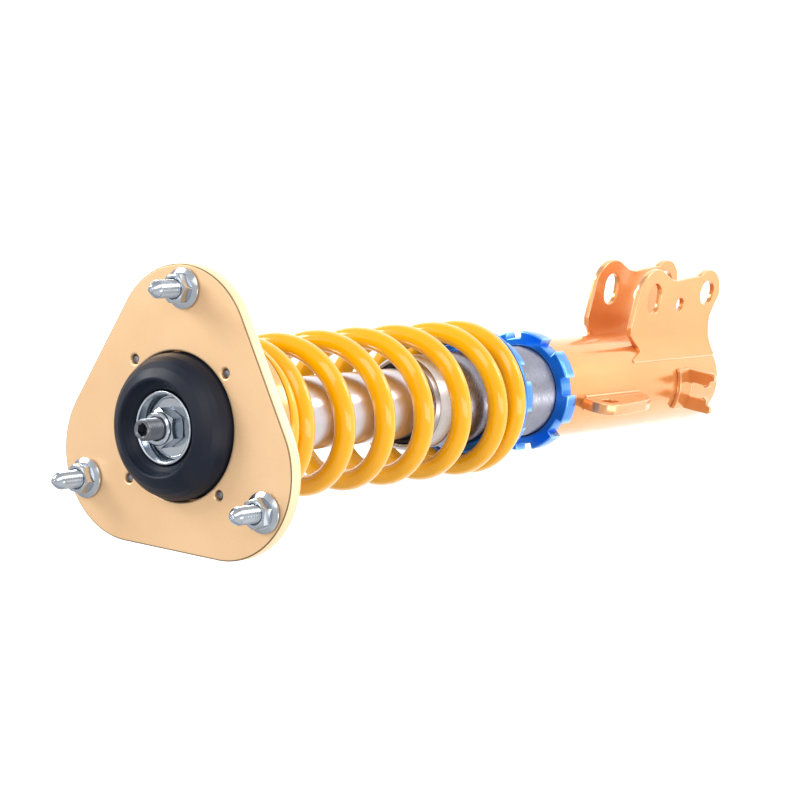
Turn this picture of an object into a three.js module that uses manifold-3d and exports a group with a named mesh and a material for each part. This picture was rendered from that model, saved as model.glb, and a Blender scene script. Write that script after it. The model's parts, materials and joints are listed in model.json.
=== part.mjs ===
// Coilover strut for a car's front suspension. Millimetres, +Z out of the top mount.
// The origin is the centre of the top plate's upper face, on the strut's axis.
// +X is the way the knuckle ears point.
import * as THREE from "three";
import { mergeVertices } from "three/addons/utils/BufferGeometryUtils.js";
import Module from "manifold-3d";

const wasm = await Module();
wasm.setup();

// ---- driving dimensions ----
const GAP = 0.3;
const ROUND = 36;
const MID = 24;
const SMALL = 14;

const PLATE_T = 8;
const PLATE_TURN = 5.5;
const PLATE_EDGE = 0.8;
const CORNER_R = 48.1;
const CORNER_OUT = 39.1;
const STUD_CENTRE = [0.3, -0.4];
const STUD_CIRCLE_R = 74.2;
const STUD_R = 4.9;
const STUD_TIP = 26.3;
const CENTRE_HOLE_R = 40.7;
const SCREW_CIRCLE_R = 46;
const SCREW_R = 2.4;
const NUT_FLANGE_R = 11.2;
const NUT_FLATS = 15;
const NUT_TOP = 8.6;
const NUT_TURNS = [43, 30, 0];

const CUP_RIM = 10.5;
const CUP_R = 20;
const ROD_R = 5.9;
const ROD_TIP = 27;
const ROD_NUT_FLATS = 19;

const HOUSING_LOW = -22.3;
const SEAT_LOW = -38.9;
const SEAT_R = 47.5;
const SPRING_TOP = -41.3;
const SPRING_LOW = -261.7;
const SPRING_MEAN_R = 40.8;
const WIRE_R = 6;
const COIL_TURNS = 7.61;
const COIL_START = -40.1;
const COIL_START_TURN = 48;
const OPEN_PITCH = 36.07;
const CLOSED_PITCH = 13;

const TUBE_R = 21;
const TUBE_BORE_R = 18.3;
const TUBE_TOP = -46;
const TUBE_LOW = -320;
const RUN = 0.05;
const PISTON_ROD_R = 7;

const BODY_R = 28;
const BODY_BORE_R = 24.3;
const BODY_TOP = -196;
const GLAND_LOW = -214;
const BODY_LOW = -475;

const HUB_R = 34.2;
const RING_R = 37.5;
const RING_BORE_R = 28.35;
const SLOT_FLOOR_R = 33.4;
const SLOTS = 8;
const SLOT_WIDE = 17;
const PERCH_TOP = -263.7;
const PERCH_LOW = -271.7;
const PERCH_RING_LOW = -279;
const LOWER_RING_TOP = -316;
const LOWER_RING_LOW = -326;

const SLEEVE_R = 31.35;
const SLEEVE_LOW = -502.5;
const EAR_GAP = 30;
const EAR_T = 3.8;
const UPPER_BOLT = [58.3, -428];
const LOWER_BOLT = [60.3, -492.5];
const SENSOR_HOLE = [53.6, -460.5];
const TAB_T = 7;
const HOSE_Z = -464;
const HOSE_T = 3;

// ---- materials ----
function material(color, roughness, metalness) {
  return new THREE.MeshStandardMaterial({ color, roughness, metalness });
}

const satinGold = material(0xe9a560, 0.42, 0.6);
const glossGold = material(0xf0913a, 0.2, 0.6);
const yellow = material(0xf2ac12, 0.28, 0.1);
const blue = material(0x1560d8, 0.25, 0.75);
const zinc = material(0xc3c9cf, 0.3, 0.95);
const chrome = material(0xdcdde0, 0.08, 1);
const steel = material(0x9a9ca2, 0.35, 0.95);
const threadGrey = material(0x8d8f9a, 0.4, 0.9);
const rubber = material(0x1d2029, 0.5, 0);
const seal = material(0x111214, 0.6, 0);
const foam = material(0xb7a24a, 0.8, 0);
const bronze = material(0xa8773a, 0.4, 0.9);
const alloy = material(0xb9bbc0, 0.35, 0.9);

// ---- helpers ----
const group = new THREE.Group();

// Position-only triangles with merged corners, none of them flat, facing outwards.
function tidy(geometry) {
  const bare = new THREE.BufferGeometry();
  bare.setAttribute("position", geometry.getAttribute("position").clone());
  if (geometry.index) bare.setIndex(geometry.index.clone());
  const merged = mergeVertices(bare, 1e-4);
  const at = merged.getAttribute("position");
  const faces = merged.index.array;
  const a = new THREE.Vector3();
  const b = new THREE.Vector3();
  const c = new THREE.Vector3();
  const kept = [];
  let volume = 0;
  for (let i = 0; i < faces.length; i += 3) {
    const [p, q, r] = [faces[i], faces[i + 1], faces[i + 2]];
    if (p === q || q === r || r === p) continue;
    a.fromBufferAttribute(at, p);
    b.fromBufferAttribute(at, q);
    c.fromBufferAttribute(at, r);
    volume += a.dot(b.cross(c));
    kept.push(p, q, r);
  }
  if (volume < 0) kept.reverse();
  merged.setIndex(kept);
  return merged;
}

function solid(geometry) {
  const clean = tidy(geometry);
  const mesh = new wasm.Mesh({
    numProp: 3,
    vertProperties: new Float32Array(clean.getAttribute("position").array),
    triVerts: new Uint32Array(clean.index.array),
  });
  return new wasm.Manifold(mesh);
}

function geometryOf(body) {
  const mesh = body.getMesh();
  const geometry = new THREE.BufferGeometry();
  geometry.setAttribute("position", new THREE.BufferAttribute(new Float32Array(mesh.vertProperties), 3));
  geometry.setIndex(Array.from(mesh.triVerts));
  return geometry;
}

function add(name, shape, look) {
  const geometry = shape.isBufferGeometry ? tidy(shape) : geometryOf(shape);
  const flat = geometry.toNonIndexed();
  flat.computeVertexNormals();
  const mesh = new THREE.Mesh(flat, look);
  mesh.name = name;
  group.add(mesh);
}

// A closed profile of [radius, z] pairs turned about the Z axis.
function turned(profile, sides = ROUND) {
  const points = profile.map(([r, z]) => new THREE.Vector2(r, z));
  if (profile[0][0] > 0) points.push(points[0].clone());
  const geometry = new THREE.LatheGeometry(points, sides);
  geometry.rotateX(Math.PI / 2);
  return geometry;
}

// A tube between two radii. The bore's flats, not its corners, stand at the inner radius.
function tube(inner, outer, low, high, sides = ROUND) {
  const bore = inner / Math.cos(Math.PI / sides);
  return turned([[bore, low], [outer, low], [outer, high], [bore, high]], sides);
}

function rod(r, low, high, sides = ROUND) {
  return turned([[0, low], [r, low], [r, high], [0, high]], sides);
}

function circle(x, y, r, sides) {
  const points = [];
  for (let i = 0; i < sides; i += 1) {
    const turn = (2 * Math.PI * i) / sides;
    points.push(new THREE.Vector2(x + r * Math.cos(turn), y + r * Math.sin(turn)));
  }
  return points;
}

function arc(x, y, r, from, to, steps) {
  const points = [];
  for (let i = 0; i <= steps; i += 1) {
    const turn = THREE.MathUtils.degToRad(from + ((to - from) * i) / steps);
    points.push(new THREE.Vector2(x + r * Math.cos(turn), y + r * Math.sin(turn)));
  }
  return points;
}

function slab(outline, low, high, bevel = 0, holes = []) {
  const shape = new THREE.Shape(outline);
  for (const hole of holes) shape.holes.push(new THREE.Path(hole));
  const geometry = new THREE.ExtrudeGeometry(shape, {
    depth: high - low - 2 * bevel,
    bevelEnabled: bevel > 0,
    bevelThickness: bevel,
    bevelSize: bevel,
    bevelOffset: -bevel,
    bevelSegments: 1,
  });
  geometry.translate(0, 0, low + bevel);
  return geometry;
}

// A slab whose outline is drawn in X and Z, standing between two Y values.
function wall(outline, low, high) {
  const geometry = slab(outline, 0, high - low);
  geometry.rotateX(Math.PI / 2);
  geometry.translate(0, high, 0);
  return geometry;
}

function hexagon(flats, turn = 0) {
  const r = flats / Math.sqrt(3);
  return arc(0, 0, r, turn, turn + 300, 5);
}

function block(x0, x1, y0, y1, z0, z1) {
  const geometry = new THREE.BoxGeometry(x1 - x0, y1 - y0, z1 - z0);
  geometry.translate((x0 + x1) / 2, (y0 + y1) / 2, (z0 + z1) / 2);
  return geometry;
}

function polar(r, degrees) {
  const turn = THREE.MathUtils.degToRad(degrees);
  return [r * Math.cos(turn), r * Math.sin(turn)];
}

// ---- top plate ----
const outline = [];
const studs = [];
for (let k = 0; k < 3; k += 1) {
  const facing = PLATE_TURN + 120 * k;
  const [dx, dy] = polar(CORNER_OUT, facing);
  const x = STUD_CENTRE[0] + dx;
  const y = STUD_CENTRE[1] + dy;
  outline.push(...arc(x, y, CORNER_R, facing - 60, facing + 60, 10));
  const [sx, sy] = polar(STUD_CIRCLE_R, facing);
  studs.push([STUD_CENTRE[0] + sx, STUD_CENTRE[1] + sy]);
}
const screws = [45, 135, 225, 315].map((degrees) => polar(SCREW_CIRCLE_R, PLATE_TURN + degrees));
const plateHoles = [circle(0, 0, CENTRE_HOLE_R, ROUND)];
for (const [x, y] of screws) plateHoles.push(circle(x, y, SCREW_R + 0.4, 8));
for (const [x, y] of studs) plateHoles.push(circle(x, y, STUD_R + 0.5, 12));
add("top_plate", slab(outline, -PLATE_T, 0, PLATE_EDGE, plateHoles), satinGold);

const studLow = -PLATE_T - GAP - 3;
const studProfile = [
  [0, studLow],
  [7.5, studLow],
  [7.5, studLow + 3],
  [STUD_R, studLow + 3],
  [STUD_R, STUD_TIP - 4.5],
  [2.2, STUD_TIP - 1.2],
  [2.2, STUD_TIP],
  [0, STUD_TIP],
];
const flange = solid(turned([
  [5.3, GAP],
  [NUT_FLANGE_R, GAP],
  [NUT_FLANGE_R, GAP + 1.4],
  [8.6, GAP + 3.4],
  [5.3, GAP + 3.4],
], 18));
const nutHex = solid(slab(hexagon(NUT_FLATS), GAP + 1, NUT_TOP, 0.6, [circle(0, 0, 5.6, 12)]));
const flangeNut = geometryOf(flange.add(nutHex));
["a", "b", "c"].forEach((letter, k) => {
  const [x, y] = studs[k];
  add(`stud_${letter}`, turned(studProfile, SMALL).translate(x, y, 0), zinc);
  const turn = THREE.MathUtils.degToRad(NUT_TURNS[k]);
  add(`stud_nut_${letter}`, flangeNut.clone().rotateZ(turn).translate(x, y, 0), zinc);
});

// ---- domed mount, its cup and the rod's nut ----
const dome = [
  [12.4, -19.3],
  [38.3, -19.3],
  [38.3, -8],
  [39.7, -7],
  [39.7, 2],
  [37.6, 7.6],
  [33.4, 12.6],
  [28.4, 15.8],
  [26.4, 16.1],
  [23.4, 12.2],
  [CUP_R + 0.4, 9.4],
  [CUP_R + 0.4, -1.9],
  [12.4, -1.9],
];
add("mount_dome", turned(dome), rubber);
const cup = [
  [ROD_R + 0.5, HOUSING_LOW],
  [12, HOUSING_LOW],
  [12, -1.5],
  [CUP_R, -1.5],
  [CUP_R, CUP_RIM],
  [CUP_R - 1.9, CUP_RIM],
  [CUP_R - 1.9, 1],
  [ROD_R + 0.5, 1],
];
add("centre_cup", turned(cup, MID), zinc);
add("cup_washer", tube(ROD_R + 0.5, 16, 1 + GAP, 4.2, MID), zinc);
const nutBase = solid(slab(hexagon(ROD_NUT_FLATS, 12), 4.5, 14, 0.7, [circle(0, 0, ROD_R + 0.6, 12)]));
const collar = solid(turned([[ROD_R + 0.5, 12], [10, 12], [10, 15.2], [9, 16.2], [ROD_R + 0.5, 16.2]], 18));
add("rod_nut", nutBase.add(collar), zinc);
const stem = solid(turned([
  [0, TUBE_TOP + GAP],
  [10.5, TUBE_TOP + GAP],
  [10.5, HOUSING_LOW - GAP],
  [ROD_R, HOUSING_LOW - GAP],
  [ROD_R, ROD_TIP - 0.8],
  [ROD_R - 0.8, ROD_TIP],
  [0, ROD_TIP],
], 16));
add("rod_stem", stem.subtract(solid(slab(hexagon(6), ROD_TIP - 8, ROD_TIP + 1))), steel);

// ---- housing under the plate ----
const housing = solid(turned([
  [13, HOUSING_LOW],
  [41.2, HOUSING_LOW],
  [41.2, -12],
  [52, -12],
  [52, -PLATE_T - GAP],
  [38.8, -PLATE_T - GAP],
  [38.8, -19.6],
  [13, -19.6],
]));
let drilled = housing;
for (const [x, y] of screws) {
  drilled = drilled.subtract(solid(rod(SCREW_R + 0.4, -14, -6, 8).translate(x, y, 0)));
}
add("mount_housing", drilled, glossGold);
const screwProfile = [
  [0, -12 - GAP - 4],
  [4.2, -12 - GAP - 4],
  [4.2, -12 - GAP],
  [SCREW_R, -12 - GAP],
  [SCREW_R, -1.8],
  [1.4, -1.1],
  [0, -1.1],
];
screws.forEach(([x, y], k) => {
  add(`housing_screw_${k + 1}`, turned(screwProfile, 8).translate(x, y, 0), steel);
});

// ---- thrust bearing, upper seat and isolator ----
add("bearing_upper_race", tube(24, 38, -25.4, HOUSING_LOW - GAP, MID), steel);
let cage = solid(tube(25, 37, -27.4, -26.5, MID));
for (let k = 0; k < 10; k += 1) {
  const needle = new THREE.CylinderGeometry(1.2, 1.2, 9, 6);
  needle.rotateZ(Math.PI / 2);
  needle.translate(31, 0, -26.95);
  needle.rotateZ((2 * Math.PI * k) / 10);
  cage = cage.add(solid(needle));
}
add("bearing_cage", cage, steel);
add("bearing_lower_race", tube(24, 38, -31.3, -28.5, MID), steel);
const seat = [
  [23.5, -52],
  [33, -52],
  [HUB_R, -50],
  [HUB_R, SEAT_LOW],
  [SEAT_R, SEAT_LOW],
  [SEAT_R, -33],
  [SEAT_R - 1.4, -31.6],
  [23.5, -31.6],
];
add("upper_seat", turned(seat), glossGold);
add("spring_isolator", tube(HUB_R + 0.4, SEAT_R - 2, SPRING_TOP + GAP, SEAT_LOW - GAP, MID), seal);

// ---- coil spring: a right-hand helix with a closed, ground coil at each end ----
class Coil extends THREE.Curve {
  pitchAt(turn) {
    const fromTop = THREE.MathUtils.smoothstep(turn, 1.24, 1.54);
    const fromLow = THREE.MathUtils.smoothstep(COIL_TURNS - turn, 0.85, 1.15);
    return CLOSED_PITCH + (OPEN_PITCH - CLOSED_PITCH) * Math.min(fromTop, fromLow);
  }

  getPoint(t, target = new THREE.Vector3()) {
    const turns = COIL_TURNS * t;
    const steps = 64;
    let z = COIL_START;
    for (let i = 0; i < steps; i += 1) z -= (this.pitchAt((turns * (i + 0.5)) / steps) * turns) / steps;
    const angle = THREE.MathUtils.degToRad(COIL_START_TURN) - 2 * Math.PI * turns;
    return target.set(SPRING_MEAN_R * Math.cos(angle), SPRING_MEAN_R * Math.sin(angle), z);
  }

  getPointAt(t, target) {
    return this.getPoint(t, target);
  }
}
const wire = new THREE.ExtrudeGeometry(new THREE.Shape(circle(0, 0, WIRE_R, 8)), {
  steps: Math.round(COIL_TURNS * 22),
  extrudePath: new Coil(),
});
const spring = solid(wire)
  .subtract(solid(block(-60, 60, -60, 60, SPRING_TOP, SPRING_TOP + 20)))
  .subtract(solid(block(-60, 60, -60, 60, SPRING_LOW - 20, SPRING_LOW)));
add("spring", spring, yellow);

// ---- blue rings on the threaded housing ----
function castellated(profile, low, high, firstSlot) {
  let ring = solid(turned(profile));
  for (let k = 0; k < SLOTS; k += 1) {
    const centre = firstSlot + (360 / SLOTS) * k;
    const edge = SLOT_WIDE / 2;
    const notch = [
      ...arc(0, 0, SLOT_FLOOR_R, centre - edge, centre + edge, 2),
      ...arc(0, 0, RING_R + 3, centre + edge, centre - edge, 1),
    ];
    ring = ring.subtract(solid(slab(notch, low, high)));
  }
  return ring;
}

add("thrust_washer", tube(HUB_R + 0.4, 40.6, PERCH_TOP + GAP, SPRING_LOW - GAP, MID), seal);
const perch = [
  [RING_BORE_R, PERCH_LOW],
  [RING_R - 0.6, PERCH_LOW],
  [RING_R, PERCH_LOW + 0.6],
  [RING_R, -265.6],
  [43.2, -265.6],
  [43.2, PERCH_TOP],
  [HUB_R, PERCH_TOP],
  [HUB_R, -253],
  [HUB_R - 2, -251],
  [RING_BORE_R, -251],
];
add("spring_perch", castellated(perch, PERCH_LOW - 1, -265.6, -34), blue);
const perchRing = [
  [RING_BORE_R, PERCH_RING_LOW],
  [RING_R - 0.7, PERCH_RING_LOW],
  [RING_R, PERCH_RING_LOW + 0.7],
  [RING_R, PERCH_LOW - GAP - 0.7],
  [RING_R - 0.7, PERCH_LOW - GAP],
  [RING_BORE_R, PERCH_LOW - GAP],
];
add("perch_lock_ring", castellated(perchRing, PERCH_RING_LOW - 1, PERCH_LOW + 1, -56.5), blue);
const lowerRing = [
  [RING_BORE_R, LOWER_RING_LOW],
  [RING_R - 0.8, LOWER_RING_LOW],
  [RING_R, LOWER_RING_LOW + 0.8],
  [RING_R, LOWER_RING_TOP - 0.8],
  [RING_R - 0.8, LOWER_RING_TOP],
  [RING_BORE_R, LOWER_RING_TOP],
];
add("lower_lock_ring", castellated(lowerRing, LOWER_RING_LOW - 1, LOWER_RING_TOP + 1, -73.5), blue);

// ---- threaded housing and what it holds ----
add("threaded_housing", tube(BODY_BORE_R, BODY_R, BODY_LOW, GLAND_LOW - GAP), threadGrey);
const gland = [
  [BODY_BORE_R, GLAND_LOW],
  [BODY_R, GLAND_LOW],
  [BODY_R, BODY_TOP - 1.5],
  [BODY_R - 1.5, BODY_TOP],
  [BODY_BORE_R, BODY_TOP],
];
add("gland_cap", turned(gland), alloy);
add("wiper_seal", tube(TUBE_R + 0.1, BODY_BORE_R - GAP, BODY_TOP - 6, BODY_TOP - 0.4), seal);
add("upper_guide_bush", tube(TUBE_R + RUN, BODY_BORE_R - GAP, -234, BODY_TOP - 6.3), bronze);
add("lower_guide_bush", tube(TUBE_R + RUN, BODY_BORE_R - GAP, -310, -285), bronze);
const base = [
  [0, BODY_LOW],
  [BODY_BORE_R - GAP, BODY_LOW],
  [BODY_BORE_R - GAP, -463],
  [5.3, -463],
  [5.3, -472.3],
  [0, -472.3],
];
add("housing_base", turned(base, MID), steel);
const pistonRod = [
  [0, -472],
  [4.9, -472],
  [4.9, -462.7],
  [PISTON_ROD_R, -462.7],
  [PISTON_ROD_R, -296.5],
  [5, -296.5],
  [5, -274],
  [0, -274],
];
add("piston_rod", turned(pistonRod, MID), chrome);
add("damper_piston", tube(5.3, TUBE_BORE_R - RUN, -296.2, -282.5), alloy);
add("piston_nut", slab(hexagon(16), -282.2, -275.5, 0, [circle(0, 0, 5.6, 12)]), steel);
const bumpStop = [
  [7.8, -462.4],
  [16, -462.4],
  [16, -456],
  [13, -453.5],
  [16, -451],
  [16, -447],
  [12.5, -444.5],
  [14, -441.5],
  [12, -438],
  [7.8, -438],
];
add("bump_stop", turned(bumpStop, SMALL), foam);

// ---- inverted damper tube, fixed to the top mount ----
add("damper_tube", tube(TUBE_BORE_R, TUBE_R, TUBE_LOW, TUBE_TOP), chrome);
add("tube_top_cap", rod(TUBE_BORE_R - GAP, -58, TUBE_TOP, MID), steel);
const freePiston = [
  [0, -100],
  [TUBE_BORE_R - RUN, -100],
  [TUBE_BORE_R - RUN, -86],
  [13, -86],
  [13, -94],
  [0, -94],
];
add("floating_piston", turned(freePiston), alloy);
add("rod_guide", tube(PISTON_ROD_R + RUN, TUBE_BORE_R - GAP, TUBE_LOW, -302, MID), alloy);
add("rod_seal", tube(PISTON_ROD_R + RUN, 17, TUBE_LOW - 4, TUBE_LOW - GAP, MID), seal);

// ---- lower tube with its ears, tab and hose bracket ----
const sleeveBore = (BODY_R + GAP) / Math.cos(Math.PI / ROUND);
const sleeve = [
  [sleeveBore, SLEEVE_LOW],
  [SLEEVE_R - 0.6, SLEEVE_LOW],
  [SLEEVE_R, SLEEVE_LOW + 0.6],
  [SLEEVE_R, LOWER_RING_LOW - GAP - 0.6],
  [SLEEVE_R - 0.6, LOWER_RING_LOW - GAP],
  [sleeveBore, LOWER_RING_LOW - GAP],
];
add("lower_tube", turned(sleeve), glossGold);
add("end_plug", rod(BODY_R, SLEEVE_LOW + 0.5, -496, MID), glossGold);

const rootR = SLEEVE_R + GAP;
const inner = EAR_GAP / 2;
const outer = EAR_GAP / 2 + EAR_T;

// Across the ear, in X and Y: a flat sheet whose foot turns out to lie along the tube.
const footFrom = THREE.MathUtils.radToDeg(Math.asin(inner / rootR));
const section = [
  new THREE.Vector2(80, inner),
  new THREE.Vector2(80, outer),
  new THREE.Vector2(34, outer),
  ...new THREE.QuadraticBezierCurve(
    new THREE.Vector2(34, outer),
    new THREE.Vector2(28, outer),
    new THREE.Vector2(...polar(rootR + 0.6, 53)),
  ).getPoints(5).slice(1),
  ...arc(0, 0, rootR, 53, footFrom, 6),
];

// Along the ear, in X and Z: two lobes round the bolt holes, a notch above the foot.
const side = [
  new THREE.Vector2(15, -502.5),
  new THREE.Vector2(15, -404),
  new THREE.Vector2(20.4, -404),
  new THREE.Vector2(25, -417.5),
  new THREE.Vector2(34.5, -407),
  new THREE.Vector2(39.8, -405.6),
  ...arc(UPPER_BOLT[0], UPPER_BOLT[1], 19.3, 70, -32, 9),
  new THREE.Vector2(70.6, -447),
  new THREE.Vector2(69.4, -455.5),
  new THREE.Vector2(70.6, -465),
  ...arc(LOWER_BOLT[0], LOWER_BOLT[1], 15.5, 42, -96, 10),
  new THREE.Vector2(51, -503.4),
  new THREE.Vector2(44.7, -500.4),
  new THREE.Vector2(38, -500.6),
  new THREE.Vector2(30, -502.5),
];
const slotPoints = [
  ...arc(UPPER_BOLT[0] + 2.5, UPPER_BOLT[1], 7.75, -90, 90, 8),
  ...arc(UPPER_BOLT[0] - 2.5, UPPER_BOLT[1], 7.75, 90, 270, 8),
];
const earPlan = solid(slab(section, -515, -400));
const earSide = solid(wall(side, 0, 40));
let ear = earPlan.intersect(earSide);
ear = ear.subtract(solid(wall(slotPoints, 0, 40)));
ear = ear.subtract(solid(wall(circle(LOWER_BOLT[0], LOWER_BOLT[1], 8.25, 20), 0, 40)));
ear = ear.subtract(solid(wall(circle(SENSOR_HOLE[0], SENSOR_HOLE[1], 4.4, 14), 0, 40)));
const farEar = geometryOf(ear);
const nearEar = farEar.clone().scale(1, -1, 1);
add("knuckle_ear_far", farEar, glossGold);
add("knuckle_ear_near", nearEar, glossGold);

// The tab's outline is drawn in Y and Z and it is TAB_T thick in X.
const tabOutline = [
  new THREE.Vector2(-24, -343),
  new THREE.Vector2(-31.5, -343),
  ...arc(-42.4, -351.6, 11.8, 62, 176, 7),
  new THREE.Vector2(-53.6, -360),
  new THREE.Vector2(-50.8, -386),
  new THREE.Vector2(-48, -395),
  new THREE.Vector2(-42, -402),
  new THREE.Vector2(-34, -406.3),
  new THREE.Vector2(-24, -406.5),
];
const tabSlot = [
  ...arc(-43.2, -352, 4.3, 0, 180, 6),
  ...arc(-43.2, -357.5, 4.3, 180, 360, 6),
];
const tabSlab = slab(tabOutline, 0, TAB_T, 0.5, [tabSlot]);
const yzToXyz = new THREE.Matrix4().makeBasis(
  new THREE.Vector3(0, 1, 0),
  new THREE.Vector3(0, 0, 1),
  new THREE.Vector3(1, 0, 0),
);
tabSlab.applyMatrix4(yzToXyz);
tabSlab.translate(-6, 0, 0);
const tubeCut = solid(rod(rootR / Math.cos(Math.PI / ROUND), -520, -330));
add("link_tab", solid(tabSlab).subtract(tubeCut), glossGold);

// The hose bracket's plate is drawn in X and Y; its slot opens away from the tube.
const hosePlate = [
  new THREE.Vector2(13.2, -26),
  new THREE.Vector2(-13.8, -26),
  new THREE.Vector2(-13.8, -49.6),
  new THREE.Vector2(-12.6, -51.6),
  new THREE.Vector2(-9.4, -51.6),
  new THREE.Vector2(-8, -48.4),
  new THREE.Vector2(-4.9, -48),
  new THREE.Vector2(-3.2, -45),
  new THREE.Vector2(-4.9, -43.4),
  ...arc(-0.3, -37.4, 4.9, 180, 0, 8),
  new THREE.Vector2(4.3, -43.4),
  new THREE.Vector2(2.6, -45),
  new THREE.Vector2(4.3, -48),
  new THREE.Vector2(7.4, -48.4),
  new THREE.Vector2(8.8, -51.6),
  new THREE.Vector2(12, -51.6),
  new THREE.Vector2(13.2, -49.6),
];
const hoseTop = solid(slab(hosePlate, HOSE_Z - HOSE_T, HOSE_Z));
const hoseLeg = solid(tube(rootR, rootR + 2.8, HOSE_Z - HOSE_T, -452));
const legKeep = solid(block(-13.8, 13.2, -40, -20, -480, -440));
add("hose_bracket", hoseTop.subtract(tubeCut).add(hoseLeg.intersect(legKeep)), glossGold);

export default group;
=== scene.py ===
import json
import math

import bmesh
import bpy
from mathutils import Matrix, Vector, noise
from mathutils.geometry import delaunay_2d_cdt


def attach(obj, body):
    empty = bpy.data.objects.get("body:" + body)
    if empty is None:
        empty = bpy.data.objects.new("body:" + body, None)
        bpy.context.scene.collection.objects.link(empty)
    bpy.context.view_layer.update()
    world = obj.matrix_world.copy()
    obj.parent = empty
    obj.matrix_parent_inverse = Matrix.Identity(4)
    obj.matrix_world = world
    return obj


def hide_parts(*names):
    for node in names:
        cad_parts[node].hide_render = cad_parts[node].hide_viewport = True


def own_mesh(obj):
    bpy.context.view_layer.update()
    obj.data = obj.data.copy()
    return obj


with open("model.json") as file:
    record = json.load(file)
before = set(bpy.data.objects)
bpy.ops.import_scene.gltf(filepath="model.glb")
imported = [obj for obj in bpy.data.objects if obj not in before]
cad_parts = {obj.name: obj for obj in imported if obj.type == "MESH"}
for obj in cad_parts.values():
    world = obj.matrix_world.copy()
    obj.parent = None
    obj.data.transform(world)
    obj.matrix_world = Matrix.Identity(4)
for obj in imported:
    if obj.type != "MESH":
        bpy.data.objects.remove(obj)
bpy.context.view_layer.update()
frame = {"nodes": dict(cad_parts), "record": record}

MM = 0.001
SHARP = math.radians(34)
GAP = 0.3
FLAT_RIM = 0.35  # a narrow flat strip inside each rounded edge, which keeps its shading clean

# ---- dimensions the frame was built to ----
PLATE_T = 8
PLATE_TURN = 5.5
CORNER_R = 48.1
CORNER_OUT = 39.1
STUD_CENTRE = (0.3, -0.4)
STUD_CIRCLE_R = 74.2
STUD_R = 4.9
STUD_ROOT_R = 4.25
STUD_HEAD_R = 7.5
STUD_HEAD_T = 3
STUD_TIP = 26.3
NUT_FLANGE_R = 11.2
NUT_BORE_R = 5.1
NUT_FLATS = 15
NUT_TOP = 8.6
NUT_TURNS = (43, 30, 0)
COARSE_PITCH = 1.25
CENTRE_HOLE_R = 40.7
SCREW_CIRCLE_R = 46
SCREW_HOLE_R = 2.8
CUP_R = 20
CUP_RIM = 10.5
ROD_R = 5.9
ROD_ROOT_R = 5.2
ROD_SHOULDER_R = 10.5
ROD_TIP = 27
ROD_NUT_FLATS = 19
ROD_NUT_TURN = 12
HOUSING_LOW = -22.3
HOUSING_FLANGE_LOW = -12
SEAT_LOW = -38.9
SEAT_R = 47.5
SPRING_TOP = -41.3
SPRING_LOW = -261.7
SPRING_MEAN_R = 40.8
WIRE_R = 6
COIL_TURNS = 7.61
COIL_START = -40.1
COIL_START_TURN = 48
OPEN_PITCH = 36.07
CLOSED_PITCH = 13
TUBE_R = 21
TUBE_BORE_R = 18.3
TUBE_TOP = -46
TUBE_LOW = -320
BODY_R = 28
BODY_ROOT_R = 27.38
BODY_BORE_R = 24.3
BODY_TOP = -196
GLAND_LOW = -214
BODY_LOW = -475
HUB_R = 34.2
HUB_TOP = -251
FLANGE_R = 43.2
RING_R = 37.5
RING_BORE_R = 28.35
SLOT_FLOOR_R = 33.4
SLOTS = 8
SLOT_WIDE = 17
PERCH_TOP = -263.7
PERCH_STEP = -265.6
PERCH_LOW = -271.7
PERCH_RING_LOW = -279
LOWER_RING_TOP = -316
LOWER_RING_LOW = -326
SLEEVE_R = 31.35
SLEEVE_BORE_R = 28.4
SLEEVE_LOW = -502.5
EAR_IN = 15
EAR_OUT = 18.8
UPPER_BOLT = (58.3, -428)
LOWER_BOLT = (60.3, -492.5)
SENSOR_HOLE = (53.6, -460.5)
EAR_T = EAR_OUT - EAR_IN
FOOT_R = SLEEVE_R + 0.06
TAB_T = 7
HOSE_Z = -464
HOSE_T = 3


# ---- outlines ----
def polar(radius, degrees):
    """The X and Y of a point at a distance and an angle from the axis."""
    turn = math.radians(degrees)
    return radius * math.cos(turn), radius * math.sin(turn)


def arc(cx, cy, radius, start, end, steps):
    """Points along part of a circle, between two angles in degrees."""
    points = []
    for i in range(steps + 1):
        dx, dy = polar(radius, start + (end - start) * i / steps)
        points.append((cx + dx, cy + dy))
    return points


def circle(cx, cy, radius, steps=48):
    return arc(cx, cy, radius, 0, 360, steps)[:-1]


def rounded(points, radius, closed=True, steps=4):
    """The same outline with each corner turned into a short curve."""
    result = []
    count = len(points)
    for i, point in enumerate(points):
        if not closed and i in (0, count - 1):
            result.append(tuple(point))
            continue
        corner = Vector(point)
        back = Vector(points[i - 1]) - corner
        ahead = Vector(points[(i + 1) % count]) - corner
        angle = back.angle(ahead)
        if angle > math.radians(172):
            result.append(tuple(point))
            continue
        cut = min(radius / math.tan(angle / 2), back.length * 0.46, ahead.length * 0.46)
        start = corner + back.normalized() * cut
        end = corner + ahead.normalized() * cut
        for k in range(steps + 1):
            t = k / steps
            spot = start * (1 - t) ** 2 + corner * 2 * t * (1 - t) + end * t * t
            result.append((spot.x, spot.y))
    return result


# ---- shapes: each is a list of corners and a list of faces ----
def joined(*shapes):
    """Several shapes as one."""
    corners = []
    faces = []
    for more_corners, more_faces in shapes:
        first = len(corners)
        corners += more_corners
        faces += [[first + i for i in face] for face in more_faces]
    return corners, faces


def moved(shape, dx=0, dy=0, dz=0):
    return [(x + dx, y + dy, z + dz) for x, y, z in shape[0]], shape[1]


def mapped(shape, rule):
    return [rule(*corner) for corner in shape[0]], shape[1]


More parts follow.
